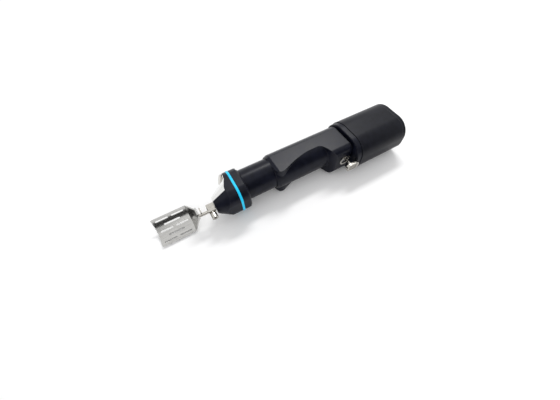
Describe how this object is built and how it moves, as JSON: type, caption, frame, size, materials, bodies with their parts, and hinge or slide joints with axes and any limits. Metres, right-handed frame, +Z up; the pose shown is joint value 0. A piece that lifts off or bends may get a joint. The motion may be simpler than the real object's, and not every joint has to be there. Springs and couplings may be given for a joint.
{
  "type": "oscillating bone saw",
  "caption": "Battery-powered oscillating bone saw handpiece: slotted curved blade, conical nose, finger-scooped grip, push trigger and slide-off battery",
  "frame": {"origin": "centre of the battery case's flat underside", "axes": "+X from the blade to the battery, +Y away from the trigger, +Z up"},
  "size_m": [0.2825, 0.0587, 0.043],
  "materials": {
    "black_anodised": "hard anodised, satin",
    "accent_blue": "anodised bright blue",
    "black_case": "satin, autoclave resistant",
    "blade_steel": "polished stainless",
    "bright_steel": "polished stainless",
    "shaft_steel": "ground",
    "bearing_steel": "ground",
    "screw_steel": "plain",
    "raw_aluminium": "machined",
    "seal_rubber": "matt",
    "copper": "enamelled wire",
    "laminations": "stacked sheet",
    "magnet": "sleeved",
    "board_green": "solder mask",
    "grey_plastic": "moulded",
    "contact_brass": "gold plated",
    "cell_wrap": "shrink wrapped cell"
  },
  "bodies": {
    "tool": {"shaft_seal": "seal_rubber", "output_front_bearing": "bearing_steel", "output_rear_bearing": "bearing_steel", "bearing_spacer": "raw_aluminium", "crank_front_bearing": "bearing_steel", "crank_rear_bearing": "bearing_steel", "bearing_carrier": "raw_aluminium", "nose_housing": "black_anodised", "lock_washer": "screw_steel", "head_screws": "screw_steel", "accent_ring": "accent_blue", "head_housing": "black_anodised", "neck_sleeve": "black_anodised", "neck_seal": "seal_rubber", "handle_shell": "black_anodised", "motor_can": "raw_aluminium", "motor_front_cap": "raw_aluminium", "motor_rear_cap": "raw_aluminium", "motor_front_bearing": "bearing_steel", "motor_rear_bearing": "bearing_steel", "motor_stator": "laminations", "motor_windings": "copper", "motor_mount": "raw_aluminium", "motor_screws": "screw_steel", "motor_cushion": "seal_rubber", "trigger_bezel": "bright_steel", "trigger_guide": "grey_plastic", "trigger_spring": "screw_steel", "trigger_switch": "grey_plastic", "switch_frame": "grey_plastic", "control_board": "board_green", "board_parts": "black_case", "latch_ring": "black_case", "battery_flange": "black_anodised", "contact_block": "grey_plastic", "contact_blades": "contact_brass"},
    "output": {"output_shaft": "shaft_steel", "chuck_collar": "bright_steel", "blade_shank": "bright_steel", "saw_blade": "blade_steel", "rocker_fork": "shaft_steel"},
    "screw": {"clamp_screw": "bright_steel"},
    "drive": {"crank_shaft": "shaft_steel", "crank_pin_bearing": "bearing_steel", "drive_coupling": "raw_aluminium", "motor_shaft": "shaft_steel", "motor_rotor": "magnet"},
    "trigger": {"trigger_plate": "bright_steel", "trigger_stem": "bright_steel"},
    "lock": {"lock_button": "bright_steel"},
    "battery": {"battery_case": "black_case", "end_cap": "black_case", "end_cap_seal": "seal_rubber", "end_cap_screws": "screw_steel", "battery_cells": "cell_wrap", "front_cell_holder": "grey_plastic", "rear_cell_holder": "grey_plastic", "protection_board": "board_green", "contact_socket": "grey_plastic"}
  },
  "joints": [
    {"name": "blade_swing", "type": "hinge", "parent": "tool", "child": "output", "pos_m": [-0.1835, 0.00135, 0.0215], "axis": [1, 0, 0], "range_deg": [-3.5, 3.5]},
    {"name": "drive_spin", "type": "hinge", "parent": "tool", "child": "drive", "pos_m": [-0.1035, 0.00895, 0.0215], "axis": [1, 0, 0], "continuous": true},
    {"name": "clamp_screw_turn", "type": "hinge", "parent": "output", "child": "screw", "pos_m": [-0.19223, -0.00905, 0.0215], "axis": [0, 1, 0], "range_deg": [0, 180]},
    {"name": "trigger_press", "type": "slide", "parent": "tool", "child": "trigger", "axis": [0, 1, 0], "range_m": [0, 0.004], "stiffness_N_per_m": 800, "springref_m": -0.002, "deforming": ["trigger_spring"]},
    {"name": "lock_press", "type": "slide", "parent": "tool", "child": "lock", "axis": [0.8991, -0.2497, -0.3596], "range_m": [0, 0.0012], "stiffness_N_per_m": 2000, "springref_m": -0.0005},
    {"name": "battery_slide", "type": "slide", "parent": "tool", "child": "battery", "axis": [1, 0, 0], "range_m": [0, 0.02]}
  ]
}
